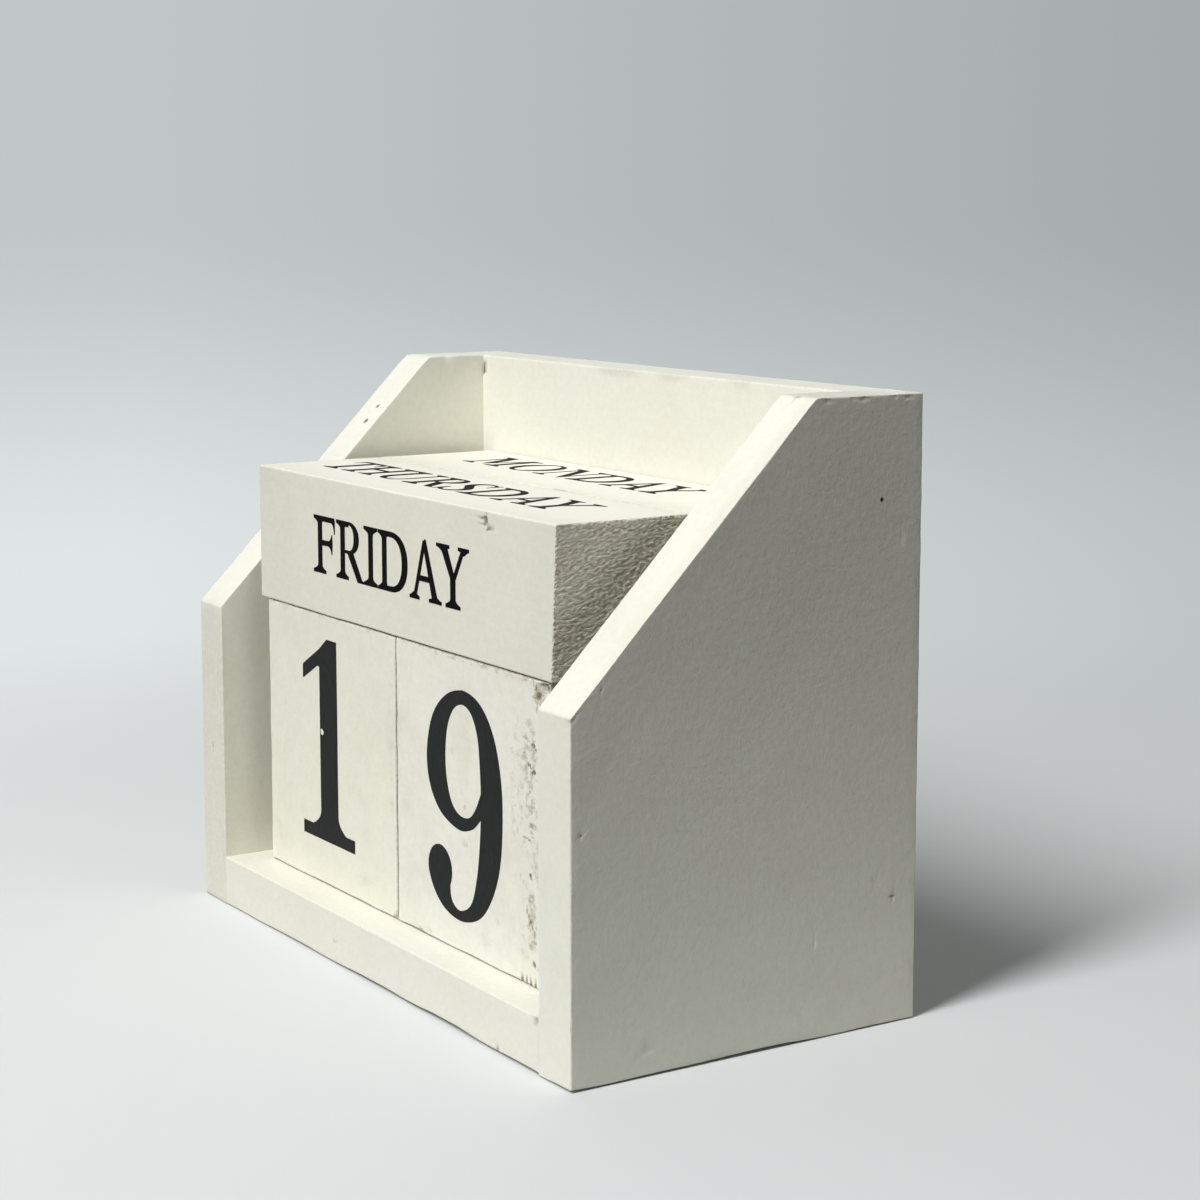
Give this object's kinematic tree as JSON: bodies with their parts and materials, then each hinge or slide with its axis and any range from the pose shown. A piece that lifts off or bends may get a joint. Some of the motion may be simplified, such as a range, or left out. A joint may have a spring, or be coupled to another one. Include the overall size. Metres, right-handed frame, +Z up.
{
  "type": "perpetual desk calendar",
  "caption": "Painted wooden perpetual desk calendar: an open case with sloping side arms holds loose number blocks side by side, with square weekday bars lying across the top of them.",
  "frame": {"origin": "middle of the case's underside", "axes": "+X along the front to the viewer's right, +Y from the front to the back panel, +Z up"},
  "size_m": [0.133, 0.0666, 0.103],
  "materials": {
    "case_paint": "satin cream paint over wood",
    "block_paint": "satin cream paint over wood, black numerals",
    "bar_paint": "satin cream paint over wood, rough sawn ends",
    "pin_steel": "plain steel panel pin"
  },
  "bodies": {
    "case": {"base_board": "case_paint", "back_panel": "case_paint", "left_side_panel": "case_paint", "right_side_panel": "case_paint", "left_panel_pins": "pin_steel", "right_panel_pins": "pin_steel", "rear_panel_pins": "pin_steel"},
    "tens_block": {"tens_block": "block_paint"},
    "units_block": {"units_block": "block_paint"},
    "front_bar": {"front_weekday_bar": "bar_paint"},
    "rear_bar": {"rear_weekday_bar": "bar_paint"}
  },
  "joints": [
    {"name": "tens_block_pull", "type": "slide", "parent": "case", "child": "tens_block", "axis": [0, -1, 0], "range_m": [0, 0.06]},
    {"name": "units_block_pull", "type": "slide", "parent": "case", "child": "units_block", "axis": [0, -1, 0], "range_m": [0, 0.06]},
    {"name": "front_bar_lift", "type": "slide", "parent": "case", "child": "front_bar", "axis": [0, 0, 1], "range_m": [0, 0.05]},
    {"name": "rear_bar_lift", "type": "slide", "parent": "case", "child": "rear_bar", "axis": [0, 0, 1], "range_m": [0, 0.05]}
  ]
}
